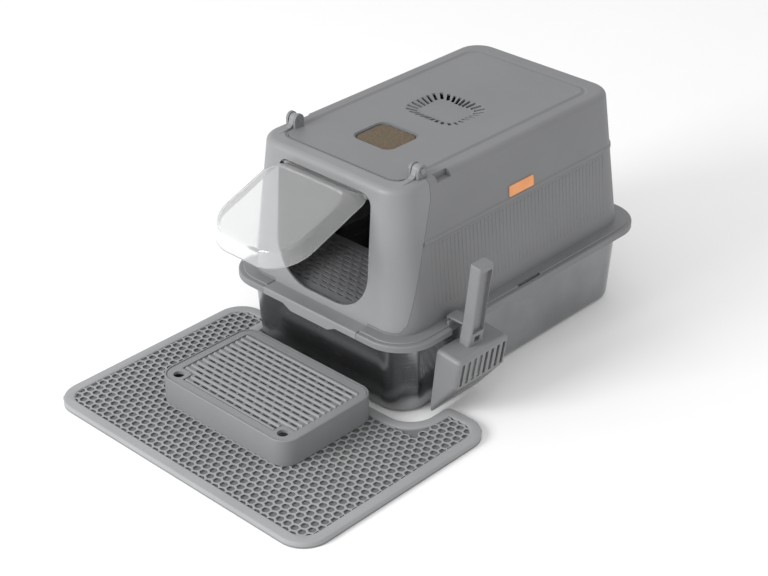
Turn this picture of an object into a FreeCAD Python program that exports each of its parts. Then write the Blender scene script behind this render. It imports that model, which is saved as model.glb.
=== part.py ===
import FreeCAD
import Part
import math
import os

# Hooded cat litter set: a steel litter pan, a plastic hood with a swing-up front
# panel and a clear flap, a hanging scoop, an entry step and a litter mat.
# Millimetres. +Z is up, the front faces -Y, the scoop hangs on the +X side.
# The origin is the centre of the pan's underside, on the floor.

V = FreeCAD.Vector

# ---- overall sizes ----
box_width = 392.0          # hood flange, side to side
box_length = 600.0         # hood flange, front to back
roof_height = 374.0        # roof above the floor
wall = 3.0                 # plastic wall
past = 5.0                 # cutters run this far past a face

# ---- hood ----
overhang = 26.0            # flange beyond the hood wall
rim_corner = 66.0
hood_corner = 44.0
side_taper = 22.0          # each side leans in by this much
front_taper = 14.0
rear_taper = 21.0
roof_edge_r = 11.0
seat_gap = 0.3             # hood over pan lip
rim_drop = 10.3            # flange skirt, below the deck's top
deck_step = 2.0            # inner deck above the outer border
deck_border = 8.0
skirt_depth = 12.3         # drip skirt inside the pan, below the deck
bead_z = 279.0
bead_height = 9.0
bead_out = 1.7
tab_half = 62.0            # snap tabs on the flange, along the side
tab_low_half = 34.0
tab_root = 4.0
tab_drop = 11.0
barb_half = 20.0
barb_low = 10.0
barb_high = 4.0
slot_half = 27.0           # slots in the deck over the snap tabs
slot_reach = 2.2

wall_hx = box_width / 2 - overhang
wall_hy = box_length / 2 - overhang
roof_hx = wall_hx - side_taper

# ---- steel pan ----
pan_height = 138.0
pan_sheet = 1.2
pan_draft = 6.0            # each side leans out by this much
pan_end_draft = 12.0       # each end leans out by this much
pan_corner = 46.0
pan_foot_r = 12.0
pan_lip = 12.0             # width of the turned-out lip
pan_lip_drop = 5.0
lip_room = 10.0            # hood flange beyond the pan's lip
pan_base_width = box_width - 2 * (lip_room + pan_lip + pan_draft)
pan_base_length = box_length - 2 * (lip_room + pan_lip + pan_end_draft)

deck_low = pan_height + seat_gap
deck_top = deck_low + wall
skirt_bottom = deck_low - skirt_depth
rise = roof_height - deck_top

# ---- front panel ----
panel_gap = 0.6            # seam and layer clearance
panel_lap = 5.0            # joggle of the hood behind the seam
seam_back = wall_hy - 80.0     # seam at the roof, in front of the middle
seam_knee_z = roof_height - 31.0
seam_lean = 0.322          # forward lean of the lower seam
panel_top_y = wall_hy - front_taper - 30.0     # panel's back edge on the roof
panel_bottom_z = deck_top + 5.7
panel_corner = 12.0
lip_half = 99.5
grip_half = 56.0
grip_drop = 8.0
door_half = 96.0
door_top = roof_height - 19.0
door_bottom = panel_bottom_z + 8.0
door_top_r = 18.0
door_low_r = 68.0
frame_half = wall_hx - 42.0    # opening in the hood's own front frame
frame_low = panel_bottom_z + 3.0
frame_high = roof_height - 10.0
frame_corner = 30.0
sill_over = 8.0            # inner sill beyond the lip, each side
door_depth = 34.0          # how far back the openings are cut
lip_up = 1.0               # panel foot above the deck
lip_thick = 2.6
lip_edge_r = 2.2
layer_in = wall + panel_gap
layer_deep = 2 * wall + panel_gap

# ---- channel round the roof ----
groove_inset = 27.0        # inside the roof's edge
groove_half = 5.2          # half its width at the roof
groove_floor = 1.4         # half the width of its floor
groove_depth = 1.9
groove_corner = 22.0
groove_hx = roof_hx - groove_inset
groove_rear = wall_hy - rear_taper - 34.0

# ---- window in the roof ----
window_y = 146.0 - wall_hy
window_half_x = 41.0
window_half_y = 38.0
window_corner = 17.0

# ---- vent in the roof ----
vent_gap = 49.0            # behind the window
vent_half_x = 56.0
vent_half_y = 49.0
vent_y = window_y + window_half_y + vent_gap + vent_half_y
vent_corner = 28.0
vent_slope = 19.0
vent_depth = 5.5
vent_slots = 30
vent_slot_width = 5.4
vent_slot_inset = 1.0

# ---- carbon filter ----
filter_floor_z = roof_height - 16.0
filter_thick = 12.4
filter_gap = 0.4
tray_side = 1.8
tray_floor = 2.0
tray_flange = 5.0
tray_drop = 0.8
tray_bars = 3              # floor slots each side of the middle one
tray_pitch = 8.0
tray_slot = 4.0
tray_slot_end = 12.0
pad_gap = 0.3
pad_edge_r = 1.5

# ---- panel hinges ----
hinge_x = roof_hx - 21.0
hinge_y = -seam_back - 2.0
hinge_z = roof_height + 12.0
knuckle_width = 9.0
knuckle_r = 8.0
lug_width = 4.6
lug_gap = 0.8
lug_r = 9.5
hinge_pin_r = 2.5
pin_tail = 1.5
pin_head = 2.0
pocket_gap = 9.0           # recess behind each hinge
pocket_long = 30.0
pocket_deep = 10.0
pocket_skin = 2.5
running_gap = 0.05

# ---- flap ----
flap_axis_y = wall + 14.0 - wall_hy
flap_axis_z = door_top - 7.0
flap_clear = 5.0
flap_bottom_gap = 6.0
flap_depth = 25.0
flap_sheet = 2.0
flap_slope = 11.0          # its edges slope in by this much over the depth
flap_top_slope = 28.0
flap_top_r = 20.0
flap_open = 70.0           # how far it stands open, outwards
barrel_r = 4.0
barrel_inset = 6.0
flap_pin_r = 1.5
ear_thick = 3.5
ear_gap = 2.0
ear_half_y = 4.0
ear_half_z = 5.0
pin_grip = 18.0            # length of each flap pin inside the barrel

# ---- entry grate ----
grate_half = wall_hx - wall - 7.0
grate_front = 12.0 - wall_hy
grate_rear = grate_front + 152.0
grate_top = frame_low
grate_plate = 3.0
grate_rim = 5.7
grate_corner = 38.0
ledge_depth = 12.0
ledge_half = 12.0
ledge_thick = 6.0
ledge_front = 30.0         # ledge centres from the grate's ends
ledge_rear = 22.0
grate_skirt = 2.5
grate_side_border = 22.0
grate_end_border = 10.0

# ---- slots shared by the grates ----
dash_length = 14.4
dash_width = 4.8
dash_pitch = 18.7
row_pitch = 11.5

# ---- scoop ----
scoop_y = 102.0 - wall_hy
scoop_top_x = box_width / 2 + 3.7
scoop_top_z = pan_height - 15.0
scoop_lean = 6.2
scoop_half = 57.0
scoop_deep = 46.0
scoop_long = 116.0
scoop_flat = 52.0
scoop_wall = 2.5
scoop_slots = 8
scoop_slot_pitch = 13.26
scoop_slot_width = 6.2
scoop_tip = 2.0            # bowl depth at its lower lip
scoop_ramp_in = 3.0
scoop_round = 7.0
handle_thick = 21.0
handle_wide = 30.0
handle_flare = 6.0         # wider by this much at its foot
handle_long = 145.0
handle_lean = 7.2
handle_in = 6.0
handle_round = 4.0
handle_border = 3.0        # around the long recess
handle_recess = 6.0
hook_half = 11.0
hook_thick = 4.0
hook_reach = 8.5           # inside the pan lip's edge
tongue_thick = 3.5
tongue_gap = 1.2
notch_half = 19.0
bar_height = 8.7
bar_thick = 4.0
bar_edge_r = 1.2

# ---- mat ----
mat_x = 15.0
mat_width = 554.0
mat_length = 398.0
mat_rear = 98.0 - box_length / 2
mat_front = mat_rear - mat_length
mat_corner = 45.0
mat_base_thick = 3.0
mat_thick = 10.0
notch_room = 18.0          # cut-out beyond the pan, each side
notch_front = notch_room - box_length / 2 - 2.0
notch_width = pan_base_width + 2 * notch_room
notch_corner = 45.0
notch_tip_r = 12.0

# ---- step ----
step_width = 280.0
step_depth = 192.0
step_height = 44.0
step_front = 3.0 - box_length / 2 - step_depth
step_corner = 28.0
step_wall = 2.8
grate_fit = 0.4
step_border = 13.0
ridge_foot = 6.0
ridge_crest = 2.6
ridge_height = 2.5
finger_r = 8.7
finger_inset = 26.0
finger_pad = 15.0          # half of the flat round each finger hole
plate_drop = 1.0           # step grate below the tray's edge
plate_thick = 6.5
field_drop = 2.7           # ridged field below the plate's border
field_thick = 2.5
field_corner = 8.0
plate_skirt = 3.0
seat_thick = 3.0
seat_reach = 5.0

# ---- badge ----
badge_y = 9.0
badge_gap = 0.4            # above the bead
badge_long = 58.0
badge_high = 18.0
badge_thick = 1.8
badge_z = bead_z + bead_height / 2 + badge_gap + badge_high / 2


# ---------- shape helpers ----------

def outline(hx, y0, y1, r, z, x=0.0):
    """A rounded rectangle, as a wire."""
    k = r * (1 - math.sqrt(0.5))
    a = [
        V(x - hx + r, y0, z), V(x + hx - r, y0, z), V(x + hx - k, y0 + k, z),
        V(x + hx, y0 + r, z), V(x + hx, y1 - r, z), V(x + hx - k, y1 - k, z),
        V(x + hx - r, y1, z), V(x - hx + r, y1, z), V(x - hx + k, y1 - k, z),
        V(x - hx, y1 - r, z), V(x - hx, y0 + r, z), V(x - hx + k, y0 + k, z),
    ]
    edges = []
    for i in range(0, 12, 3):
        j = (i + 3) % 12
        edges.append(Part.LineSegment(a[i], a[i + 1]).toShape())
        edges.append(Part.Arc(a[i + 1], a[i + 2], a[j]).toShape())
    return Part.Wire(edges)


def slab(hx, y0, y1, r, z0, z1, x=0.0):
    """A rounded rectangle with straight sides."""
    face = Part.Face(outline(hx, y0, y1, r, z0, x))
    return face.extrude(V(0, 0, z1 - z0))


def block(x0, x1, y0, y1, z0, z1):
    return Part.makeBox(x1 - x0, y1 - y0, z1 - z0, V(x0, y0, z0))


def rod(x0, x1, y, z, r):
    """A round bar along X."""
    return Part.makeCylinder(r, x1 - x0, V(x0, y, z), V(1, 0, 0))


def prism_x(points, x0, x1):
    """A (y, z) polygon drawn out along X."""
    path = [V(x0, y, z) for y, z in points]
    face = Part.Face(Part.makePolygon(path + [path[0]]))
    return face.extrude(V(x1 - x0, 0, 0))


def level_edges(shape, z):
    """The edges that lie in the plane at this height."""
    return [e for e in shape.Edges if all(abs(v.Z - z) < 1e-3 for v in e.Vertexes)]


def round_level(shape, z, r):
    return shape.makeFillet(r, level_edges(shape, z))


def stadium(x, y, length, width, z0, z1):
    """A slot cutter along X with round ends."""
    h = length / 2 - width / 2
    w = width / 2
    edges = [
        Part.LineSegment(V(x - h, y - w, z0), V(x + h, y - w, z0)).toShape(),
        Part.Arc(V(x + h, y - w, z0), V(x + h + w, y, z0), V(x + h, y + w, z0)).toShape(),
        Part.LineSegment(V(x + h, y + w, z0), V(x - h, y + w, z0)).toShape(),
        Part.Arc(V(x - h, y + w, z0), V(x - h - w, y, z0), V(x - h, y - w, z0)).toShape(),
    ]
    return Part.Face(Part.Wire(edges)).extrude(V(0, 0, z1 - z0))


def mirrored(shape):
    return shape.mirror(V(0, 0, 0), V(1, 0, 0))


def both_sides(shape):
    return [shape, mirrored(shape)]


# ---------- steel pan ----------

def pan_blank(inset, z0, z1):
    hx = pan_base_width / 2 - inset
    hy = pan_base_length / 2 - inset
    low = outline(hx, -hy, hy, pan_corner - inset, z0)
    hx += pan_draft
    hy += pan_end_draft
    high = outline(hx, -hy, hy, pan_corner + pan_draft - inset, z1)
    solid = Part.makeLoft([low, high], True, True)
    return round_level(solid, z0, pan_foot_r - inset)


def pan_lip_plate(inset, z0, z1):
    hx = pan_base_width / 2 + pan_draft + pan_lip - inset
    hy = pan_base_length / 2 + pan_end_draft + pan_lip - inset
    return slab(hx, -hy, hy, pan_corner + pan_draft + pan_lip - inset, z0, z1)


def litter_pan():
    sheet = pan_sheet
    body = pan_blank(0, 0, pan_height)
    lip = pan_lip_plate(0, pan_height - pan_lip_drop, pan_height)
    lip = lip.cut(pan_lip_plate(sheet, 0, pan_height - sheet))
    body = body.fuse(lip)
    hollow = pan_blank(sheet, sheet, pan_height)
    top = max(hollow.Faces, key=lambda f: f.CenterOfMass.z)
    hollow = hollow.fuse(top.extrude(V(0, 0, past)))
    return body.cut(hollow).removeSplitter()


# ---------- hood ----------

def hood_blank(inset, bottom):
    """The hood's outer form moved inwards by inset, filled solid."""
    hx = wall_hx - inset
    hy = wall_hy - inset
    top = roof_height - inset
    share = (top - deck_top) / rise
    r = hood_corner - inset
    low = outline(hx, -hy, hy, r, deck_top)
    high = outline(hx - side_taper * share, -hy + front_taper * share,
                   hy - rear_taper * share, r - 2, top)
    upper = Part.makeLoft([low, high], True, True)
    upper = round_level(upper, top, max(roof_edge_r - inset, 3.0))
    lower = slab(hx, -hy, hy, r, bottom, deck_top)
    return upper.fuse(lower)


def panel_zone(grow):
    """The space of the front panel, grown on every side by grow."""
    z_low = panel_bottom_z - grow
    y_top = -seam_back + grow
    y_low = y_top - seam_lean * (seam_knee_z - z_low)
    far = -wall_hy - 100
    high = roof_height + 60
    r = panel_corner
    corner = [(y_low + seam_lean * r, z_low + r)]
    for i in range(1, 6):
        a = math.radians(18 * i)
        corner.append((y_low - r + r * math.cos(a), z_low + r - r * math.sin(a)))
    side = [(far, z_low)] + corner[::-1] + [(y_top, seam_knee_z), (y_top, high), (far, high)]
    zone = prism_x(side, -box_width, box_width)
    keep = slab(groove_hx - grow, -panel_top_y + grow, box_length, groove_corner - grow,
                roof_height - 25, high + 10)
    zone = zone.cut(keep)
    sill = block(-lip_half - grow, lip_half + grow, far, -seam_back,
                 deck_low - grow, panel_bottom_z)
    drop = block(-lip_half - grow, lip_half + grow, far, -box_length / 2 + deck_border + grow,
                 deck_low - 40, deck_top + 1)
    return zone.fuse([sill, drop])


def front_opening(half, low, high, r_top, r_low, y0, y1):
    """A cutter for an opening in the front, drawn in X and Z, along Y."""
    k = 1 - math.sqrt(0.5)
    a = [
        V(-half + r_low, y0, low), V(half - r_low, y0, low),
        V(half - k * r_low, y0, low + k * r_low), V(half, y0, low + r_low),
        V(half, y0, high - r_top), V(half - k * r_top, y0, high - k * r_top),
        V(half - r_top, y0, high), V(-half + r_top, y0, high),
        V(-half + k * r_top, y0, high - k * r_top), V(-half, y0, high - r_top),
        V(-half, y0, low + r_low), V(-half + k * r_low, y0, low + k * r_low),
    ]
    edges = []
    for i in range(0, 12, 3):
        j = (i + 3) % 12
        edges.append(Part.LineSegment(a[i], a[i + 1]).toShape())
        edges.append(Part.Arc(a[i + 1], a[i + 2], a[j]).toShape())
    wire = Part.Wire(edges)
    if y1 is None:
        return wire
    return Part.Face(wire).extrude(V(0, y1 - y0, 0))


def bead_band():
    """The raised bead round the hood wall, with sloping flanks."""
    flank = bead_height / 4
    heights = [bead_z - bead_height / 2, bead_z - flank, bead_z + flank, bead_z + bead_height / 2]
    out = [0.0, bead_out, bead_out, 0.0]
    parts = []
    for i in range(3):
        wires = []
        for z, grow in ((heights[i], out[i]), (heights[i + 1], out[i + 1])):
            share = (z - deck_top) / rise
            hx = wall_hx + grow - side_taper * share
            y0 = -wall_hy - grow + front_taper * share
            y1 = wall_hy + grow - rear_taper * share
            wires.append(outline(hx, y0, y1, hood_corner + grow - 2 * share, z))
        parts.append(Part.makeLoft(wires, True, True))
    return parts


def rim_flange():
    """Deck over the pan's lip, with its skirt, before the inside is cut."""
    hx = box_width / 2
    hy = box_length / 2
    outer = slab(hx, -hy, hy, rim_corner, deck_top - rim_drop, deck_top)
    outer = round_level(outer, deck_top, wall - 0.5)
    hollow = slab(hx - wall, -hy + wall, hy - wall, rim_corner - wall, 0, deck_low)
    deck = slab(hx - deck_border, -hy + deck_border, hy - deck_border,
                rim_corner - deck_border, deck_low, deck_top + deck_step)
    deck = round_level(deck, deck_top + deck_step, deck_step - 0.4)
    return outer.cut(hollow).fuse(deck)


def vent_frustum(drop, z_shift):
    top_z = roof_height + z_shift
    low = outline(vent_half_x - vent_slope + drop, vent_y - vent_half_y + vent_slope - drop,
                  vent_y + vent_half_y - vent_slope + drop, vent_corner - vent_slope / 2 + drop,
                  top_z - vent_depth)
    high = outline(vent_half_x + drop, vent_y - vent_half_y - drop,
                   vent_y + vent_half_y + drop, vent_corner + drop, top_z)
    return Part.makeLoft([low, high], True, True)


def vent_cutters():
    """Slots that fan out round the vent's sloping wall."""
    cutters = []
    power = 4.0
    half = vent_slot_width / 2
    for i in range(vent_slots):
        turn = 360.0 * (i + 0.5) / vent_slots
        a = math.radians(turn)
        # distance from the centre to the rounded square along this ray
        shares = abs(math.cos(a) / vent_half_x) ** power + abs(math.sin(a) / vent_half_y) ** power
        reach = shares ** (-1 / power)
        bar = block(reach - vent_slope + vent_slot_inset, reach - vent_slot_inset, -half, half,
                    roof_height - vent_depth - wall - past, roof_height + past)
        bar.rotate(V(0, 0, 0), V(0, 0, 1), turn)
        bar.translate(V(0, vent_y, 0))
        cutters.append(bar)
    return cutters


def hinge_lugs():
    """Two ears for each panel hinge, standing on the roof."""
    inner = knuckle_width / 2 + lug_gap
    foot = roof_height - wall - panel_gap - 1
    y0 = hinge_y - lug_r
    y1 = hinge_y + lug_r
    side = [(y0, foot), (y1, foot), (y1, hinge_z), (y0, hinge_z)]
    lugs = []
    for start in (hinge_x + inner, hinge_x - inner - lug_width):
        ear = prism_x(side, start, start + lug_width)
        ear = ear.fuse(rod(start, start + lug_width, hinge_y, hinge_z, lug_r))
        lugs.extend(both_sides(ear))
    return lugs


def hinge_pockets():
    """Recesses in the roof's edge behind the hinges: wall blocks and cutters."""
    x0 = hinge_x + knuckle_width / 2 + lug_gap + lug_width + 1
    y0 = hinge_y + lug_r + pocket_gap
    y1 = y0 + pocket_long
    z0 = roof_height - pocket_deep
    skin = pocket_skin
    outer = block(x0 - skin, wall_hx, y0 - skin, y1 + skin, z0 - skin, roof_height)
    outer = outer.common(hood_blank(0, deck_low))
    inner = block(x0, wall_hx + past, y0, y1, z0, roof_height + past)
    return both_sides(outer), both_sides(inner)


def snap_tabs():
    """Side tabs below the flange that snap round the pan's lip, set released."""
    hx = box_width / 2
    low = deck_top - rim_drop
    foot = low - tab_drop
    side = [(-tab_half, low + tab_root), (-tab_half, low), (-tab_low_half, foot),
            (tab_low_half, foot), (tab_half, low), (tab_half, low + tab_root)]
    tab = prism_x(side, hx - wall, hx)
    barb = block(hx - 2 * wall, hx - wall, -barb_half, barb_half, low - barb_low, low - barb_high)
    return both_sides(tab) + both_sides(barb)


def snap_slots():
    edge = pan_base_width / 2 + pan_draft + pan_lip
    return both_sides(block(edge - slot_reach, edge + slot_reach, -slot_half, slot_half,
                            deck_low - past, deck_top + deck_step + past))


def grate_ledges():
    """Blocks inside the hood wall that the entry grate rests on."""
    z1 = grate_top - grate_rim
    blocks = []
    for y in (grate_front + ledge_front, grate_rear - ledge_rear):
        ledge = block(wall_hx - wall - ledge_depth, wall_hx - 1, y - ledge_half, y + ledge_half,
                      z1 - ledge_thick, z1)
        blocks.extend(both_sides(ledge))
    return blocks


def groove_ring():
    """The shallow V-shaped channel round the roof; its front stretch is the panel's seam."""
    floor_z = roof_height - groove_depth
    rims = []
    for low, high in ((groove_floor, groove_half), (-groove_floor, -groove_half)):
        wires = []
        for grow, z in ((low, floor_z), (high, roof_height), (high, roof_height + 4)):
            wires.append(outline(groove_hx + grow, -panel_top_y - grow, groove_rear + grow,
                                 groove_corner + grow, z))
        rims.append(Part.makeLoft(wires[:2], True, True).fuse(Part.makeLoft(wires[1:], True, True)))
    return rims[0].cut(rims[1])


def scoop_rest():
    """A notch in the flange and the bar that the scoop hooks on."""
    edge = pan_base_width / 2 + pan_draft + pan_lip
    y0 = scoop_y - notch_half
    y1 = scoop_y + notch_half
    high = deck_top + bar_height
    notch = block(edge + 3, box_width / 2 + past, y0, y1, 0, deck_top + past)
    closing = block(edge + 1, edge + 3, y0 - 2, y1 + 2, deck_top - rim_drop, deck_top)
    bar = block(edge - bar_thick / 2, edge + bar_thick / 2, y0 + 1, y1 - 1, deck_low + 1, high)
    return notch, [closing, round_level(bar, high, bar_edge_r)]


def hood_shell():
    solid = hood_blank(0, skirt_bottom)
    hollow = hood_blank(wall, skirt_bottom - 20)
    zone = panel_zone(panel_gap)
    zone_lap = panel_zone(panel_gap + panel_lap)

    shell = solid.fuse([rim_flange()] + bead_band())
    pocket_walls, pocket_cuts = hinge_pockets()
    vent_low = vent_frustum(wall * 0.8, -wall * 0.9)
    notch, rest = scoop_rest()
    shell = shell.cut(hollow)
    shell = shell.fuse(pocket_walls + [vent_low])
    shell = shell.cut([groove_ring(), vent_frustum(0, 0.01), zone] + pocket_cuts)

    # the frame behind the panel, one layer further in, and the joggle that joins it
    core = hood_blank(layer_deep, skirt_bottom - 20)
    layer = hood_blank(layer_in, skirt_bottom).cut(core).common(zone_lap)
    joggle = solid.cut(core).common(zone_lap).cut(zone)
    sill = hood_blank(layer_in, skirt_bottom).cut(core)
    sill = sill.common(block(-lip_half - sill_over, lip_half + sill_over, -wall_hy, -seam_back,
                             skirt_bottom, frame_low + 2))
    shell = shell.fuse([layer, joggle, sill])
    shell = shell.fuse(hinge_lugs() + snap_tabs() + grate_ledges())
    shell = shell.cut(notch)
    shell = shell.fuse(rest)

    opening = front_opening(frame_half, frame_low, frame_high, frame_corner, frame_corner,
                            -wall_hy - past, -wall_hy + door_depth)
    window = slab(window_half_x, window_y - window_half_y, window_y + window_half_y,
                  window_corner, filter_floor_z, roof_height + past)
    pins = both_sides(rod(hinge_x - 12, hinge_x + 12, hinge_y, hinge_z, hinge_pin_r))
    shell = shell.cut([opening, window] + vent_cutters() + snap_slots() + pins)
    return shell.removeSplitter()


def hinge_pins():
    half = knuckle_width / 2 + lug_gap + lug_width
    pin = rod(hinge_x - half - pin_tail, hinge_x + half, hinge_y, hinge_z, hinge_pin_r)
    head = rod(hinge_x + half, hinge_x + half + pin_head, hinge_y, hinge_z, hinge_pin_r + pin_head)
    return Part.makeCompound(both_sides(pin.fuse(head).removeSplitter()))


# ---------- front panel ----------

def panel_arm():
    """From the panel's roof part back to the hinge knuckle, at one hinge."""
    half = knuckle_width / 2
    low = roof_height - wall + 0.5
    front = hinge_y - knuckle_r
    side = [
        (-panel_top_y - 6, low), (front + 2, low), (hinge_y, hinge_z - knuckle_r + 1),
        (hinge_y, hinge_z), (front, hinge_z), (front - 2, roof_height + 5),
        (front - 8, roof_height + 1.5), (-panel_top_y - 6, roof_height),
    ]
    arm = prism_x(side, hinge_x - half, hinge_x + half)
    return arm.fuse(rod(hinge_x - half, hinge_x + half, hinge_y, hinge_z, knuckle_r))


def lug_notches():
    """Clearance in the panel's corners for the hood's hinge lugs."""
    inner = knuckle_width / 2 + lug_gap
    y0 = hinge_y - lug_r - panel_gap
    cutters = []
    for start in (hinge_x + inner, hinge_x - inner - lug_width):
        cutters.extend(both_sides(block(start - panel_gap, start + lug_width + panel_gap,
                                        y0, hinge_y + 40, roof_height - 20, roof_height + 40)))
    back = block(hinge_x - inner, hinge_x + inner, y0, hinge_y + 40,
                 roof_height - 20, roof_height + 0.5)
    return cutters + both_sides(back)


def front_lip():
    """The panel's foot, turned out over the flange, with a grip in the middle."""
    y0 = -box_length / 2
    low = deck_top - rim_drop
    top = deck_top + lip_up
    tread = block(-lip_half, lip_half, y0, -wall_hy + wall, top - lip_thick, top)
    band = block(-lip_half, lip_half, y0, y0 + wall, low, top)
    foot = tread.fuse(band).removeSplitter()
    edge = [e for e in foot.Edges
            if abs(e.CenterOfMass.z - top) < 0.01 and abs(e.CenterOfMass.y - y0) < 0.01]
    foot = foot.makeFillet(lip_edge_r, edge)
    ramp = grip_drop * 2
    grip = [V(-grip_half, y0, low + 2), V(-grip_half, y0, low),
            V(-grip_half + ramp, y0, low - grip_drop), V(grip_half - ramp, y0, low - grip_drop),
            V(grip_half, y0, low), V(grip_half, y0, low + 2)]
    tab = Part.Face(Part.makePolygon(grip + [grip[0]])).extrude(V(0, wall, 0))
    return foot.fuse(tab)


def flap_ears():
    """Small ears inside the panel that carry the flap's pins."""
    x0 = door_half + ear_gap
    ear = block(x0, x0 + ear_thick, flap_axis_y - ear_half_y, flap_axis_y + ear_half_y,
                flap_axis_z - ear_half_z, flap_axis_z + ear_half_z)
    return both_sides(ear)


def front_panel():
    shell = hood_blank(0, deck_low).cut(hood_blank(wall, deck_low - 1))
    shell = shell.common(panel_zone(0))
    shell = shell.cut(block(-lip_half - 1, lip_half + 1, -box_length, box_length,
                            0, deck_top + lip_up - lip_thick))
    shell = shell.cut(lug_notches() + [groove_ring()])
    arms = both_sides(panel_arm())
    shell = shell.fuse(arms + [front_lip()] + flap_ears())
    door = front_opening(door_half, door_bottom, door_top, door_top_r, door_low_r,
                         -wall_hy - past, -wall_hy + door_depth)
    bores = both_sides(rod(hinge_x - 12, hinge_x + 12, hinge_y, hinge_z,
                           hinge_pin_r + running_gap))
    bores += both_sides(rod(door_half, door_half + 12, flap_axis_y, flap_axis_z, flap_pin_r))
    return shell.cut([door] + bores).removeSplitter()


# ---------- flap ----------

def flap_blank(inset, y_back, y_front):
    """The dished flap's outer form, hanging straight down, filled solid."""
    half = door_half - flap_clear - inset
    low = door_bottom + flap_bottom_gap + inset
    high = flap_axis_z + 2 - inset
    r = door_low_r - flap_clear - inset
    back = front_opening(half, low, high, flap_top_r, r, y_back, None)
    front = front_opening(half - flap_slope, low + flap_slope, high - flap_top_slope,
                          flap_top_r + 4, r - flap_slope, y_front, None)
    solid = Part.makeLoft([back, front], True, True)
    rim = [e for e in solid.Edges if all(abs(v.Y - y_front) < 1e-3 for v in e.Vertexes)]
    return solid.makeFillet(7.0 - inset, rim)


def flap():
    y0 = flap_axis_y - 1
    dish = flap_blank(0, y0, y0 - flap_depth)
    dish = dish.cut(flap_blank(flap_sheet, y0 + 0.001, y0 - flap_depth + flap_sheet))
    half = door_half - flap_clear - barrel_inset
    dish = dish.fuse(rod(-half, half, flap_axis_y, flap_axis_z, barrel_r))
    bores = both_sides(rod(half - pin_grip - 2, half + past, flap_axis_y, flap_axis_z,
                           flap_pin_r + running_gap))
    dish = dish.cut(bores).removeSplitter()
    dish.rotate(V(0, flap_axis_y, flap_axis_z), V(-1, 0, 0), flap_open)
    return dish


def flap_pins():
    half = door_half - flap_clear - barrel_inset
    pin = rod(half - pin_grip, door_half + ear_gap + ear_thick, flap_axis_y, flap_axis_z, flap_pin_r)
    return Part.makeCompound(both_sides(pin))


# ---------- grates ----------

def dash_rows(half_x, y0, y1, z0, z1, clear=None):
    """Staggered rows of short slots along X between y0 and y1."""
    cutters = []
    rows = int((y1 - y0) / row_pitch)
    start = (y0 + y1) / 2 - (rows - 1) * row_pitch / 2
    for row in range(rows):
        y = start + row * row_pitch
        shift = dash_pitch / 4 if row % 2 else -dash_pitch / 4
        count = int((half_x + dash_pitch) / dash_pitch)
        for i in range(-count, count + 1):
            x = i * dash_pitch + shift
            if abs(x) + dash_length / 2 > half_x:
                continue
            if clear and clear(x, y):
                continue
            cutters.append(stadium(x, y, dash_length, dash_width, z0, z1))
    return cutters, start, rows


def entry_grate():
    low = grate_top - grate_rim
    plate = slab(grate_half, grate_front, grate_rear, grate_corner, low, grate_top)
    rim = grate_skirt
    under = slab(grate_half - rim, grate_front + rim, grate_rear - rim, grate_corner - rim,
                 low - past, grate_top - grate_plate)
    end = grate_end_border
    cutters, _, _ = dash_rows(grate_half - grate_side_border, grate_front + end, grate_rear - end,
                              low, grate_top + past)
    return plate.cut([under] + cutters).removeSplitter()


# ---------- carbon filter ----------

def filter_tray():
    gap = filter_gap
    hx = window_half_x - gap
    hy = window_half_y - gap
    low = filter_floor_z
    body = slab(hx, window_y - hy, window_y + hy, window_corner - gap, low,
                roof_height - tray_drop)
    reach = tray_flange
    hold = slab(hx + reach, window_y - hy - reach, window_y + hy + reach, window_corner + reach,
                roof_height - 2 * wall, roof_height - wall)
    inner = slab(hx - tray_side, window_y - hy + tray_side, window_y + hy - tray_side,
                 window_corner - gap - tray_side, low + tray_floor, roof_height + past)
    slots = []
    for i in range(-tray_bars, tray_bars + 1):
        y = window_y + tray_pitch * i
        slots.append(block(-hx + tray_slot_end, hx - tray_slot_end, y - tray_slot / 2,
                           y + tray_slot / 2, low - past, low + past))
    return body.fuse(hold).cut([inner] + slots).removeSplitter()


def carbon_filter():
    gap = filter_gap + tray_side + pad_gap
    low = filter_floor_z + tray_floor
    top = low + filter_thick
    pad = slab(window_half_x - gap, window_y - window_half_y + gap,
               window_y + window_half_y - gap, window_corner - gap, low, top)
    return round_level(pad, top, pad_edge_r)


def badge():
    share = (badge_z - deck_top) / rise
    x = wall_hx - side_taper * share
    lean = math.degrees(math.atan(side_taper / rise))
    plate = block(0, badge_thick, badge_y - badge_long / 2, badge_y + badge_long / 2,
                  -badge_high / 2, badge_high / 2)
    ends = [e for e in plate.Edges if abs(e.Length - badge_thick) < 1e-3]
    plate = plate.makeFillet(2.5, ends)
    front = [e for e in plate.Edges if all(abs(v.X - badge_thick) < 1e-3 for v in e.Vertexes)]
    plate = plate.makeFillet(0.6, front)
    plate.rotate(V(0, 0, 0), V(0, 1, 0), -lean)
    plate.translate(V(x, 0, badge_z))
    return plate


# ---------- scoop ----------

def scoop_blank(inset, half, back):
    """The bowl's form in its own frame: x outwards, z up, drawn out along Y."""
    deep = scoop_deep - inset
    foot = -scoop_long + inset * 1.2
    points = [V(back, -half, -inset), V(deep, -half, -inset),
              V(deep - scoop_ramp_in, -half, -scoop_flat - inset * 0.4),
              V(scoop_tip - inset * 0.5, -half, foot), V(back, -half, foot)]
    solid = Part.Face(Part.makePolygon(points + [points[0]])).extrude(V(0, 2 * half, 0))
    edges = []
    for e in solid.Edges:
        c = e.CenterOfMass
        on_end = abs(abs(c.y) - half) < 0.01
        outer = c.x > scoop_tip + 2 and c.z > -scoop_long + 8
        crown = abs(c.z + inset) < 0.01 and c.x > deep - 0.1
        if (on_end and outer) or crown:
            edges.append(e)
    return solid.makeFillet(scoop_round - inset, edges)


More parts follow.
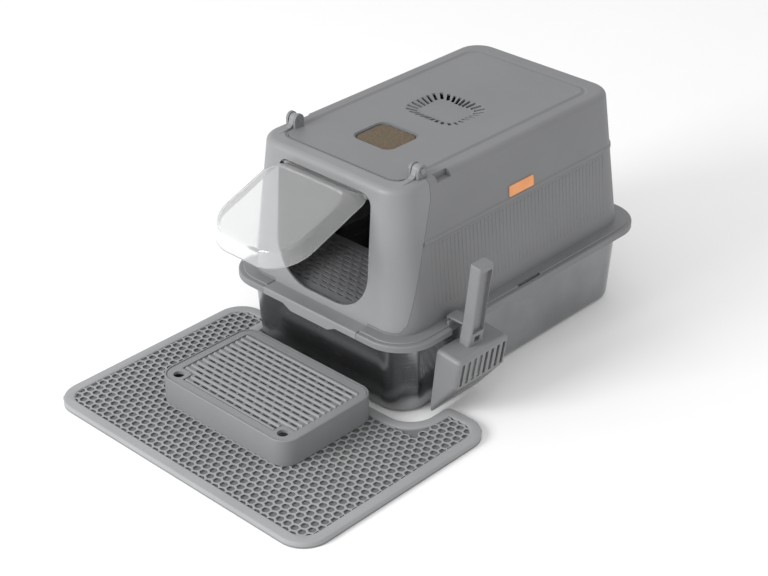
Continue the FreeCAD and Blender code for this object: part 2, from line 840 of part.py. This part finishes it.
def scoop_handle():
    """A bar with a long recess in its outer face and a small window at its foot."""
    h = handle_thick / 2
    w = handle_wide / 2
    rings = []
    for z, half in ((0, w + handle_flare / 2), (handle_long * 0.3, w), (handle_long, w + 1)):
        rings.append(outline(h, -half, half, handle_round, z))
    bar = Part.makeLoft(rings[:2], True, True).fuse(Part.makeLoft(rings[1:], True, True))
    bar = round_level(bar, handle_long, 1.5)
    side = w - handle_border
    recess = block(h - handle_recess, h + past, -side, side, 26, handle_long - 9)
    window = block(-h - past, h + past, -6, 6, 9, 19)
    bar = bar.cut([recess, window])
    bar.rotate(V(0, 0, 0), V(0, 1, 0), handle_lean)
    bar.translate(V(scoop_top_x + handle_in + handle_thick / 2, scoop_y, scoop_top_z - 6))
    return bar


def litter_scoop():
    bowl = scoop_blank(0, scoop_half, 0)
    bowl = bowl.cut(scoop_blank(scoop_wall, scoop_half - scoop_wall, -past))
    slots = []
    w = scoop_slot_width / 2
    outer = scoop_deep + past
    for i in range(scoop_slots):
        y = (i - (scoop_slots - 1) / 2) * scoop_slot_pitch
        slots.append(block(scoop_deep - 10, outer, y - w, y + w, -scoop_flat + 3, -8))
        slots.append(block(5, outer, y - w, y + w, -scoop_long + 22, -scoop_flat - 7))
    bowl = bowl.cut(slots)
    bowl.rotate(V(0, 0, 0), V(0, 1, 0), scoop_lean)
    bowl.translate(V(scoop_top_x, scoop_y, scoop_top_z))
    y0 = scoop_y - hook_half
    y1 = scoop_y + hook_half
    x0 = pan_base_width / 2 + pan_draft + pan_lip - hook_reach
    bar_top = deck_top + bar_height + seat_gap
    arm = block(x0, scoop_top_x + handle_in + 6, y0, y1, bar_top, bar_top + hook_thick)
    tongue = block(x0, x0 + tongue_thick, y0, y1, deck_top + deck_step + tongue_gap, bar_top + 2)
    return bowl.fuse([scoop_handle(), arm, tongue]).removeSplitter()


# ---------- step ----------

def step_tray():
    hx = step_width / 2
    y0 = step_front
    y1 = step_front + step_depth
    z0 = mat_thick
    z1 = z0 + step_height
    t = step_wall
    body = slab(hx, y0, y1, step_corner, z0, z1)
    body = round_level(body, z1, 1.2)
    inner = slab(hx - t, y0 + t, y1 - t, step_corner - t, z0 + t, z1 + past)
    shell = body.cut(inner)
    seat = z1 - plate_drop - plate_thick
    root = t - 0.5
    ledge = slab(hx - root, y0 + root, y1 - root, step_corner - root, seat - seat_thick, seat)
    lip = t + seat_reach
    bore = slab(hx - lip, y0 + lip, y1 - lip, step_corner - lip, seat - past, seat + past)
    return shell.fuse(ledge.cut(bore)).removeSplitter()


def step_grate():
    hx = step_width / 2 - step_wall - grate_fit
    y0 = step_front + step_wall + grate_fit
    y1 = step_front + step_depth - step_wall - grate_fit
    top = mat_thick + step_height - plate_drop
    low = top - plate_thick
    field = top - field_drop
    r = step_corner - step_wall - grate_fit
    plate = slab(hx, y0, y1, r, low, top)
    plate = round_level(plate, top, 1.0)
    b = step_border
    dip = slab(hx - b, y0 + b, y1 - b, field_corner, field, top + past)
    finger_x = step_width / 2 - finger_inset
    finger_y = step_front + finger_inset - 4
    centres = [(-finger_x, finger_y), (finger_x, finger_y)]
    pad = finger_pad
    for x, y in centres:
        dip = dip.cut(slab(pad, y - pad, y + pad, field_corner, field - past, top + 2 * past, x))
    skirt = plate_skirt
    under = slab(hx - skirt, y0 + skirt, y1 - skirt, r - skirt, low - past, field - field_thick)

    def near_hole(x, y):
        return any(abs(x - cx) < 24 and abs(y - cy) < 19 for cx, cy in centres)

    edge = b + 3
    cutters, start, rows = dash_rows(hx - edge, y0 + edge, y1 - edge, low - past, top + past,
                                     near_hole)
    ridges = []
    for row in range(rows + 1):
        y = start + (row - 0.5) * row_pitch
        reach = hx - b - 2
        if y < finger_y + pad + 1:
            reach = finger_x - pad - 2
        foot = ridge_foot / 2
        crest = ridge_crest / 2
        side = [(y - foot, field - 0.5), (y + foot, field - 0.5), (y + foot, field),
                (y + crest, field + ridge_height), (y - crest, field + ridge_height),
                (y - foot, field)]
        ridges.append(prism_x(side, -reach, reach))
    holes = [Part.makeCylinder(finger_r, 30, V(x, y, low - past)) for x, y in centres]
    plate = plate.cut([dip, under]).fuse(ridges)
    return plate.cut(cutters + holes).removeSplitter()


# ---------- mat ----------

def mat_layer(z0, z1):
    sheet = slab(mat_width / 2, mat_front, mat_rear, mat_corner, z0, z1, mat_x)
    notch = slab(notch_width / 2, notch_front, mat_rear + 100, notch_corner, z0 - past, z1 + past,
                 mat_x)
    sheet = sheet.cut(notch)
    tips = []
    for e in sheet.Edges:
        c = e.CenterOfMass
        upright = abs(e.Length - (z1 - z0)) < 1e-3
        if upright and abs(c.y - mat_rear) < 0.01 and abs(c.x - mat_x) < notch_width / 2 + 1:
            tips.append(e)
    return sheet.makeFillet(notch_tip_r, tips)


nodes = {
    "litter_pan": litter_pan,
    "hood_shell": hood_shell,
    "hinge_pins": hinge_pins,
    "front_panel": front_panel,
    "flap": flap,
    "flap_pins": flap_pins,
    "entry_grate": entry_grate,
    "filter_tray": filter_tray,
    "carbon_filter": carbon_filter,
    "badge": badge,
    "litter_scoop": litter_scoop,
    "step_tray": step_tray,
    "step_grate": step_grate,
    "mat_base": lambda: mat_layer(0, mat_base_thick),
    "mat_top": lambda: mat_layer(mat_base_thick, mat_thick),
}

os.makedirs("parts", exist_ok=True)
for name, build in nodes.items():
    shape = build()
    shape.exportStep("parts/" + name + ".step")
    print(name, len(shape.Solids), round(shape.Volume), shape.isValid())
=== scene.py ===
import bpy
import math
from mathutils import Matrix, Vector


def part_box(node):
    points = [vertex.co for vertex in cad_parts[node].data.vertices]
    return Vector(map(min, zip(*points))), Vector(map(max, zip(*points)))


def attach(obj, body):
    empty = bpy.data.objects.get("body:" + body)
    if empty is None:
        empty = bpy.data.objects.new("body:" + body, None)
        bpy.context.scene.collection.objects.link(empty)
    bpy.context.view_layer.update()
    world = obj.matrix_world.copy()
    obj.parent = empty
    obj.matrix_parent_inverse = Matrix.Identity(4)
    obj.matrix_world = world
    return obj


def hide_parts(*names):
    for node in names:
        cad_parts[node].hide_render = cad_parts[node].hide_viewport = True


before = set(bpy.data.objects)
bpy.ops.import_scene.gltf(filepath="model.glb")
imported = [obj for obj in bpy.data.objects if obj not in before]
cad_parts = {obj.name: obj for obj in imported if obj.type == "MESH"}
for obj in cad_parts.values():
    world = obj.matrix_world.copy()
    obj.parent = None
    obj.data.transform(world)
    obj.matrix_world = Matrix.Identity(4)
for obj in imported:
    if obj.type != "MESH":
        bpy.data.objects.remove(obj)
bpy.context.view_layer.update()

bpy.ops.object.select_all(action="DESELECT")


# ---- Steel litter pan ----
# Deep-drawn from one sheet of stainless steel, polished bright, with a lip turned out and down.
# Its grey is set far darker than bare steel, as a painted dark reflection of dark surroundings.
# It stands on the floor and everything else hangs on it or sits in it.

def start_finish(name, base, roughness, metallic=0.0):
    """A material with its shader's constant values set, and its node tree."""
    finish = bpy.data.materials.new(name)
    finish.use_nodes = True
    tree = finish.node_tree
    shader = tree.nodes["Principled BSDF"]
    shader.inputs["Base Color"].default_value = (*base, 1.0)
    shader.inputs["Roughness"].default_value = roughness
    shader.inputs["Metallic"].default_value = metallic
    return finish, tree, shader


def object_place(tree, scale=(1.0, 1.0, 1.0)):
    """Object coordinates, in metres, stretched by scale."""
    place = tree.nodes.new("ShaderNodeTexCoord")
    stretch = tree.nodes.new("ShaderNodeMapping")
    stretch.inputs["Scale"].default_value = scale
    tree.links.new(place.outputs["Object"], stretch.inputs["Vector"])
    return stretch.outputs["Vector"]


def noise(tree, place, scale, detail=4.0, roughness=0.6):
    cloud = tree.nodes.new("ShaderNodeTexNoise")
    cloud.inputs["Scale"].default_value = scale
    cloud.inputs["Detail"].default_value = detail
    cloud.inputs["Roughness"].default_value = roughness
    tree.links.new(place, cloud.inputs["Vector"])
    return cloud.outputs["Fac"]


def ramp(tree, value, low, high, dark, light):
    """Turns a value between low and high into a colour between dark and light."""
    band = tree.nodes.new("ShaderNodeValToRGB")
    band.color_ramp.elements[0].position = low
    band.color_ramp.elements[1].position = high
    band.color_ramp.elements[0].color = (*dark, 1.0)
    band.color_ramp.elements[1].color = (*light, 1.0)
    tree.links.new(value, band.inputs["Fac"])
    return band.outputs["Color"]


def spread(tree, value, low, high):
    """Maps a value of 0.3 to 0.7 onto low to high."""
    step = tree.nodes.new("ShaderNodeMapRange")
    step.inputs["From Min"].default_value = 0.3
    step.inputs["From Max"].default_value = 0.7
    step.inputs["To Min"].default_value = low
    step.inputs["To Max"].default_value = high
    tree.links.new(value, step.inputs["Value"])
    return step.outputs["Result"]


def bump(tree, shader, height, distance, strength=1.0):
    relief = tree.nodes.new("ShaderNodeBump")
    relief.inputs["Strength"].default_value = strength
    relief.inputs["Distance"].default_value = distance
    tree.links.new(height, relief.inputs["Height"])
    tree.links.new(relief.outputs["Normal"], shader.inputs["Normal"])
    return relief


def give(node, finish):
    """Puts a finish on every material slot of a CAD node."""
    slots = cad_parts[node].material_slots
    for slot in slots:
        slot.material = finish


# The base grey and both smear ramp colours are far darker than bare steel. This is a painted
# dark reflection, not the steel's own colour. The smears themselves vary at random.
steel, tree, shader = start_finish("polished_steel_painted_dark_reflection", (0.29, 0.295, 0.3), 0.22, 1.0)
lines = noise(tree, object_place(tree, (1.0, 1.0, 28.0)), 34.0)
smears = noise(tree, object_place(tree), 9.0, 3.0)
tree.links.new(ramp(tree, smears, 0.3, 0.7, (0.25, 0.255, 0.26), (0.33, 0.335, 0.34)),
               shader.inputs["Base Color"])
tree.links.new(spread(tree, lines, 0.14, 0.28), shader.inputs["Roughness"])
bump(tree, shader, lines, 0.00002)
give("litter_pan", steel)


# ---- Moulded grey hood, front panel, grate and scoop ----
# Injection-moulded polypropylene in one dark grey, with a fine spark-eroded grain
# that scatters the light, and faint flow clouds in the colour.

def moulded(name, grey, roughness, grain=0.00006, blue=1.04):
    base = (grey, grey * (1 + (blue - 1) / 3), grey * blue)
    finish, tree, shader = start_finish(name, base, roughness)
    place = object_place(tree)
    clouds = noise(tree, place, 6.0, 3.0)
    speck = noise(tree, place, 1500.0, 2.0)
    dark = tuple(0.95 * c for c in base)
    light = tuple(1.05 * c for c in base)
    tree.links.new(ramp(tree, clouds, 0.3, 0.7, dark, light), shader.inputs["Base Color"])
    tree.links.new(spread(tree, speck, roughness - 0.06, roughness + 0.06),
                   shader.inputs["Roughness"])
    bump(tree, shader, speck, grain)
    return finish


hood_grey = moulded("hood_grey", 0.182, 0.5)
give("hood_shell", hood_grey)
give("filter_tray", moulded("tray_grey", 0.17, 0.5))
give("front_panel", moulded("panel_grey", 0.222, 0.46))
give("entry_grate", moulded("grate_grey", 0.2, 0.5))
give("litter_scoop", moulded("scoop_grey", 0.2, 0.48))
give("step_tray", moulded("step_grey", 0.21, 0.52))
give("step_grate", moulded("step_grate_grey", 0.23, 0.52))
pin_grey = moulded("pin_grey", 0.2, 0.35, 0.00002)
give("hinge_pins", pin_grey)
give("flap_pins", pin_grey)


# ---- Ribs on the hood's lower walls ----
# Fine upright ribs moulded on the outside of the side and rear walls, from above the
# flange to just under the bead. They fade out at their lower ends.

rib_pitch = 0.0086
rib_width = 0.0042
rib_out = 0.0008
rib_low = 0.168
rib_high = 0.2705
rib_sink = 0.0008
rib_fade = 0.0001
rib_crest = 0.62
rib_round = 0.0006
side_row_front = -0.205
side_row_rear = 0.222
rear_row_half = 0.118
deck_z = 0.1413
roof_z = 0.374
side_lean = 0.022
rear_lean = 0.021
flange_reach = 0.026

hood_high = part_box("hood_shell")[1]
wall_x = hood_high[0] - flange_reach
wall_y = hood_high[1] - flange_reach


def wall_at(z, taper, foot):
    """How far out a leaning hood wall stands at height z."""
    return foot - taper * (z - deck_z) / (roof_z - deck_z)


def one_rib(name, axis, foot, taper, side, along):
    """A half-round rib, lying on the wall on the given side at place along."""
    height = rib_high - rib_low
    middle = (rib_low + rib_high) / 2
    bpy.ops.mesh.primitive_cube_add(size=1.0, location=(0, 0, 0))
    rib = bpy.context.object
    rib.name = name
    bpy.ops.object.mode_set(mode="EDIT")
    bpy.ops.mesh.select_all(action="SELECT")
    bpy.ops.transform.resize(value=(rib_out + rib_sink, rib_width, height))
    bpy.ops.object.mode_set(mode="OBJECT")
    data = rib.data
    for corner in data.vertices:
        outer = corner.co.x > 0
        low = corner.co.z < 0
        z = middle + corner.co.z
        out = rib_out if outer else -rib_sink
        if outer and low:
            out = rib_fade
        place = wall_at(z, taper, foot) + out
        shift = along + corner.co.y * (rib_crest if outer else 1.0)
        if axis == "x":
            corner.co = (side * place, shift * side, z)
        else:
            corner.co = (-shift * side, side * place, z)
    return rib


def rib_row(name, axis, foot, taper, side, start, end):
    """A row of ribs along one wall, from start to end, centred in that stretch."""
    count = int((end - start) / rib_pitch)
    first = (start + end) / 2 - (count - 1) * rib_pitch / 2
    rib = one_rib(name, axis, foot, taper, side, first * (side if axis == "x" else -side))
    step = rib.modifiers.new("row", "ARRAY")
    step.count = count
    step.use_relative_offset = False
    step.use_constant_offset = True
    step.constant_offset_displace = (0, rib_pitch, 0) if axis == "x" else (rib_pitch, 0, 0)
    bpy.context.view_layer.objects.active = rib
    bpy.ops.object.modifier_apply(modifier="row")
    edge = rib.modifiers.new("soft", "BEVEL")
    edge.width = rib_round
    edge.segments = 2
    bpy.ops.object.modifier_apply(modifier="soft")
    return rib


ribs = [
    rib_row("ribs_right", "x", wall_x, side_lean, 1, side_row_front, side_row_rear),
    rib_row("ribs_left", "x", wall_x, side_lean, -1, side_row_front, side_row_rear),
    rib_row("ribs_rear", "y", wall_y, rear_lean, 1, -rear_row_half, rear_row_half),
]
bpy.ops.object.select_all(action="DESELECT")
for row in ribs:
    row.select_set(True)
bpy.context.view_layer.objects.active = ribs[0]
bpy.ops.object.join()
hood_ribs = bpy.context.object
hood_ribs.name = "hood_ribs"
bpy.ops.object.mode_set(mode="EDIT")
bpy.ops.mesh.select_all(action="SELECT")
bpy.ops.mesh.normals_make_consistent(inside=False)
bpy.ops.object.mode_set(mode="OBJECT")
bpy.ops.object.shade_smooth_by_angle(angle=math.radians(40))
hood_ribs.data.materials.append(hood_grey)
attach(hood_ribs, "hood")
bpy.ops.object.select_all(action="DESELECT")


# ---- Clear door flap ----
# Vacuum-formed clear sheet with a deep dish, so it reads as a faint smoke tint
# with bright edges. It hangs from two small pins.

clear, tree, shader = start_finish("clear_flap", (0.85, 0.855, 0.86), 0.06)
shader.inputs["Transmission Weight"].default_value = 0.82
shader.inputs["IOR"].default_value = 1.42
haze = noise(tree, object_place(tree), 22.0, 3.0)
tree.links.new(spread(tree, haze, 0.03, 0.12), shader.inputs["Roughness"])
bump(tree, shader, haze, 0.0002)
give("flap", clear)


# ---- Badge ----
# A small orange plate with rounded ends, pressed into the hood's right wall.
# It is left blank.

orange, tree, shader = start_finish("badge_orange", (0.8, 0.33, 0.12), 0.35)
fade = noise(tree, object_place(tree), 30.0, 2.0)
tree.links.new(ramp(tree, fade, 0.3, 0.7, (0.74, 0.29, 0.1), (0.86, 0.37, 0.14)),
               shader.inputs["Base Color"])
bump(tree, shader, noise(tree, object_place(tree), 900.0), 0.00002)
give("badge", orange)


# ---- Carbon filter ----
# A pad of pressed felt loaded with carbon grains, laid in the tray's grid.
# It is cut with rounded corners and swells a little between them.

pad_corner = 0.015
pad_edge = 0.0022
pad_grain = 0.0005
felt_voxel = 0.0012
tuft_size = 0.004


def select_where(piece, kind, test):
    """Selects only the faces or edges of a mesh that pass the test, in object mode."""
    bpy.context.tool_settings.mesh_select_mode = (False, kind == "edges", kind == "polygons")
    data = piece.data
    for group in (data.vertices, data.edges, data.polygons):
        group.foreach_set("select", [False] * len(group))
    for item in getattr(data, kind):
        item.select = test(item)


def upright(piece, edge):
    ends = [piece.data.vertices[i].co for i in edge.vertices]
    return abs(ends[0].z - ends[1].z) > 0.001


def corner_block(name, low, high, radius, segments):
    """A block between two corners with its upright edges rounded."""
    bpy.ops.mesh.primitive_cube_add(size=1.0, location=(0, 0, 0))
    piece = bpy.context.object
    piece.name = name
    bpy.ops.object.mode_set(mode="EDIT")
    bpy.ops.mesh.select_all(action="SELECT")
    bpy.ops.transform.resize(value=[b - a for a, b in zip(low, high)])
    bpy.ops.transform.translate(value=[(a + b) / 2 for a, b in zip(low, high)])
    bpy.ops.object.mode_set(mode="OBJECT")
    select_where(piece, "edges", lambda edge: upright(piece, edge))
    bpy.ops.object.mode_set(mode="EDIT")
    bpy.ops.mesh.bevel(offset=radius, segments=segments, affect="EDGES")
    bpy.ops.object.mode_set(mode="OBJECT")
    return piece


pad_low, pad_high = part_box("carbon_filter")
carbon_pad = corner_block("carbon_pad", [v + pad_grain for v in pad_low],
                          [v - pad_grain for v in pad_high], pad_corner, 6)
select_where(carbon_pad, "polygons", lambda face: abs(face.normal.z) > 0.9)
bpy.ops.object.mode_set(mode="EDIT")
bpy.ops.mesh.region_to_loop()
bpy.ops.mesh.bevel(offset=pad_edge, segments=3, affect="EDGES")
bpy.ops.object.mode_set(mode="OBJECT")
felt_mesh = carbon_pad.modifiers.new("felt", "REMESH")
felt_mesh.mode = "VOXEL"
felt_mesh.voxel_size = felt_voxel
bpy.ops.object.modifier_apply(modifier="felt")
tufts = bpy.data.textures.new("felt_tufts", "CLOUDS")
tufts.noise_scale = tuft_size
swell = carbon_pad.modifiers.new("tufts", "DISPLACE")
swell.texture = tufts
swell.strength = 2 * pad_grain
swell.mid_level = 0.5
bpy.ops.object.modifier_apply(modifier="tufts")
bpy.ops.object.shade_smooth()

felt, tree, shader = start_finish("carbon_felt", (0.13, 0.1, 0.065), 0.9)
fibre = noise(tree, object_place(tree), 420.0, 6.0, 0.7)
tree.links.new(ramp(tree, fibre, 0.35, 0.65, (0.07, 0.053, 0.034), (0.165, 0.125, 0.08)),
               shader.inputs["Base Color"])
bump(tree, shader, fibre, 0.0006)
carbon_pad.data.materials.append(felt)
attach(carbon_pad, "hood")
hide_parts("carbon_filter")
bpy.ops.object.select_all(action="DESELECT")


# ---- Mat, lower sheet ----
# A sheet of closed-cell foam rubber. Only its edge and the floor of each cell show. It is given
# a darker grey than the upper sheet's foam, as painted shade for the cell floors.

def foam(name, grey):
    base = (grey, grey * 1.012, grey * 1.03)
    finish, tree, shader = start_finish(name, base, 0.85)
    place = object_place(tree)
    cells = noise(tree, place, 900.0, 3.0)
    clouds = noise(tree, place, 5.0, 2.0)
    tree.links.new(ramp(tree, clouds, 0.3, 0.7, tuple(0.94 * c for c in base),
                        tuple(1.06 * c for c in base)), shader.inputs["Base Color"])
    bump(tree, shader, cells, 0.00015)
    return finish


# Grey 0.2 is darker than the border foam. It is painted shade where the cell floors show.
give("mat_base", foam("foam_floor_painted_shade", 0.2))


# ---- Mat, upper sheet ----
# The same foam, thicker, with a honeycomb of open cells that litter drops into.
# A plain border is left all round and along the cut-out for the pan. The floor of each cell
# gets a darker copy of the same foam, as painted shade in the cells.

border_width = 0.018
notch_low_x = -0.171
notch_high_x = 0.201
notch_front_y = -0.284
outer_corner = 0.045
tip_corner = 0.012
border_round = 0.0022
cut_past = 0.01
cell_pitch = 0.0145
cell_wall = 0.0012
cell_corner = 0.0016
cell_chamfer = 0.0005
comb_drop = 0.0008
cell_depth = 0.0032
comb_thick = 0.0034
field_margin = 0.003

mat_low, mat_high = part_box("mat_top")


def cut_away(piece, tool):
    """Takes the tool's shape out of the piece and removes the tool."""
    cut = piece.modifiers.new("cut", "BOOLEAN")
    cut.operation = "DIFFERENCE"
    cut.solver = "EXACT"
    cut.object = tool
    bpy.ops.object.select_all(action="DESELECT")
    bpy.context.view_layer.objects.active = piece
    bpy.ops.object.modifier_apply(modifier="cut")
    bpy.data.objects.remove(tool)


far_y = mat_high[1] + 0.1
comb_z = mat_high[2] - comb_drop
mat_comb = corner_block("mat_comb", mat_low, mat_high, outer_corner, 12)
notch_tool = corner_block("notch_tool", (notch_low_x, notch_front_y, mat_low[2] - cut_past),
                          (notch_high_x, far_y, mat_high[2] + cut_past), outer_corner, 12)
cut_away(mat_comb, notch_tool)
field_tool = corner_block("field_tool",
                          (mat_low[0] + border_width, mat_low[1] + border_width,
                           comb_z - cell_depth),
                          (mat_high[0] - border_width, mat_high[1] - border_width,
                           mat_high[2] + cut_past), outer_corner - border_width, 8)
field_notch = corner_block("field_notch",
                           (notch_low_x - border_width, notch_front_y - border_width,
                            mat_low[2] - 2 * cut_past),
                           (notch_high_x + border_width, far_y, mat_high[2] + 2 * cut_past),
                           outer_corner + border_width, 14)
cut_away(field_tool, field_notch)
cut_away(mat_comb, field_tool)


def tip_edge(edge):
    """True for the two upright edges where the cut-out meets the mat's rear edge."""
    ends = [mat_comb.data.vertices[i].co for i in edge.vertices]
    near = min(abs(ends[0].x - notch_low_x), abs(ends[0].x - notch_high_x)) < 0.0005
    return upright(mat_comb, edge) and near and abs(ends[0].y - mat_high[1]) < 0.0005


select_where(mat_comb, "edges", tip_edge)
bpy.context.view_layer.objects.active = mat_comb
bpy.ops.object.mode_set(mode="EDIT")
bpy.ops.mesh.bevel(offset=tip_corner, segments=6, affect="EDGES")
bpy.ops.object.mode_set(mode="OBJECT")
select_where(mat_comb, "polygons",
             lambda face: face.normal.z > 0.9 and face.center.z > mat_high[2] - 0.0005)
bpy.ops.object.mode_set(mode="EDIT")
bpy.ops.mesh.region_to_loop()
bpy.ops.mesh.bevel(offset=border_round, segments=3, affect="EDGES")
bpy.ops.object.mode_set(mode="OBJECT")

cell_radius = cell_pitch / math.sqrt(3)
row_step = cell_pitch * math.sqrt(3) / 2
columns = int((mat_high[0] - mat_low[0]) / cell_pitch)
row_pairs = int((mat_high[1] - mat_low[1]) / (2 * row_step))
first_x = (mat_low[0] + mat_high[0]) / 2 - (columns - 0.5) * cell_pitch / 2
first_y = (mat_low[1] + mat_high[1]) / 2 - (2 * row_pairs - 1) * row_step / 2

bpy.ops.mesh.primitive_circle_add(vertices=6, radius=cell_radius, fill_type="NGON",
                                  location=(0, 0, 0))
comb = bpy.context.object
comb.name = "comb"
bpy.ops.object.mode_set(mode="EDIT")
bpy.ops.mesh.select_all(action="SELECT")
bpy.ops.transform.translate(value=(first_x, first_y, comb_z))
bpy.ops.mesh.inset(thickness=cell_wall, depth=0)
bpy.ops.mesh.bevel(offset=cell_corner, segments=2, affect="VERTICES")
bpy.ops.object.mode_set(mode="OBJECT")
middle = Vector((first_x, first_y, comb_z))
select_where(comb, "polygons", lambda face: (face.center - middle).length < 0.001)
bpy.ops.object.mode_set(mode="EDIT")
bpy.ops.mesh.inset(thickness=cell_chamfer, depth=-cell_chamfer)
bpy.ops.mesh.delete(type="FACE")
bpy.ops.object.mode_set(mode="OBJECT")
steps = (("pair", 2, (cell_pitch / 2, row_step, 0)), ("columns", columns, (cell_pitch, 0, 0)),
         ("rows", row_pairs, (0, 2 * row_step, 0)))
for name, count, shift in steps:
    array = comb.modifiers.new(name, "ARRAY")
    array.count = count
    array.use_relative_offset = False
    array.use_constant_offset = True
    array.constant_offset_displace = shift
    bpy.ops.object.modifier_apply(modifier=name)

field_edge = border_width - field_margin
field_x = (mat_low[0] + field_edge, mat_high[0] - field_edge)
field_y = (mat_low[1] + field_edge, mat_high[1] - field_edge)


def cell_centre(x, y):
    """The centre of the honeycomb cell that holds this point."""
    found = []
    row = math.floor((y - first_y) / row_step)
    for near in (row, row + 1):
        start = first_x + (cell_pitch / 2 if near % 2 else 0)
        cx = start + round((x - start) / cell_pitch) * cell_pitch
        cy = first_y + near * row_step
        found.append(((cx - x) ** 2 + (cy - y) ** 2, cx, cy))
    return min(found)[1:]


def outside_field(face):
    """True for a face whose whole cell lies on the plain border or in the cut-out."""
    x, y = cell_centre(face.center.x, face.center.y)
    beyond = not (field_x[0] < x < field_x[1] and field_y[0] < y < field_y[1])
    in_notch = (notch_low_x - field_edge < x < notch_high_x + field_edge
                and y > notch_front_y - field_edge)
    return beyond or in_notch


select_where(comb, "polygons", outside_field)
bpy.ops.object.mode_set(mode="EDIT")
bpy.ops.mesh.delete(type="FACE")
bpy.ops.mesh.select_all(action="SELECT")
bpy.ops.mesh.remove_doubles(threshold=0.00005)
bpy.ops.object.mode_set(mode="OBJECT")
depth = comb.modifiers.new("depth", "SOLIDIFY")
depth.thickness = comb_thick
depth.offset = -1.0
bpy.ops.object.modifier_apply(modifier="depth")
mat_comb.data.materials.clear()
mat_comb.data.materials.append(foam("foam_border", 0.3))
# The second, darker copy of the foam is painted shade for the cell floors.
mat_comb.data.materials.append(foam("foam_cell_painted_shade", 0.17))
# The cell floors take the darker foam copy: painted shade at the bottom of each cell.
for face in mat_comb.data.polygons:
    if face.normal.z > 0.9 and abs(face.center.z - comb_z + cell_depth) < 0.0002:
        face.material_index = 1
comb.data.materials.clear()
comb.data.materials.append(mat_comb.data.materials[0])
bpy.ops.object.select_all(action="DESELECT")
comb.select_set(True)
mat_comb.select_set(True)
bpy.context.view_layer.objects.active = mat_comb
bpy.ops.object.join()
bpy.ops.object.shade_smooth_by_angle(angle=math.radians(35))
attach(mat_comb, "mat")
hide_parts("mat_top")
bpy.ops.object.select_all(action="DESELECT")


# ---- Floor, lamps and camera ----
# A plain white floor in an evenly bright room, with one big soft lamp low in front,
# so that the faces towards it are the lightest.

bpy.ops.mesh.primitive_plane_add(size=12.0, location=(0, 0, -0.0002))
floor = bpy.context.object
floor.name = "studio_floor"
paper, tree, shader = start_finish("studio_paper", (0.93, 0.93, 0.93), 0.95)
tree.links.new(ramp(tree, noise(tree, object_place(tree), 3.0), 0.3, 0.7, (0.925, 0.925, 0.925),
                    (0.935, 0.935, 0.935)), shader.inputs["Base Color"])
floor.data.materials.append(paper)

room = bpy.data.worlds.new("studio_room")
room.use_nodes = True
room.node_tree.nodes["Background"].inputs["Color"].default_value = (1.0, 1.0, 1.0, 1.0)
room.node_tree.nodes["Background"].inputs["Strength"].default_value = 0.9
bpy.context.scene.world = room


def lamp(name, place, target, size, power):
    """A square soft lamp at place, turned to face target."""
    light = bpy.data.lights.new(name, "AREA")
    light.shape = "SQUARE"
    light.size = size
    light.energy = power
    holder = bpy.data.objects.new(name, light)
    bpy.context.scene.collection.objects.link(holder)
    holder.location = place
    holder.rotation_euler = (Vector(target) - Vector(place)).to_track_quat("-Z", "Y").to_euler()


lamp("key_lamp", (-0.8, -3.2, 1.6), (0, 0, 0.15), 1.4, 92)
bpy.context.scene.view_settings.view_transform = "Standard"

view = bpy.data.cameras.new("front_right_view")
view.lens = 84.4
view.sensor_width = 36.0
camera = bpy.data.objects.new("front_right_view", view)
bpy.context.scene.collection.objects.link(camera)
aim = Vector((-0.1245, 0.0, 0.0024))
turn = math.radians(43.3)
rise = math.radians(30.3)
reach = 3.0705
camera.location = aim + reach * Vector((math.sin(turn) * math.cos(rise),
                                        -math.cos(turn) * math.cos(rise), math.sin(rise)))
camera.rotation_euler = (aim - camera.location).to_track_quat("-Z", "Y").to_euler()
bpy.context.scene.camera = camera
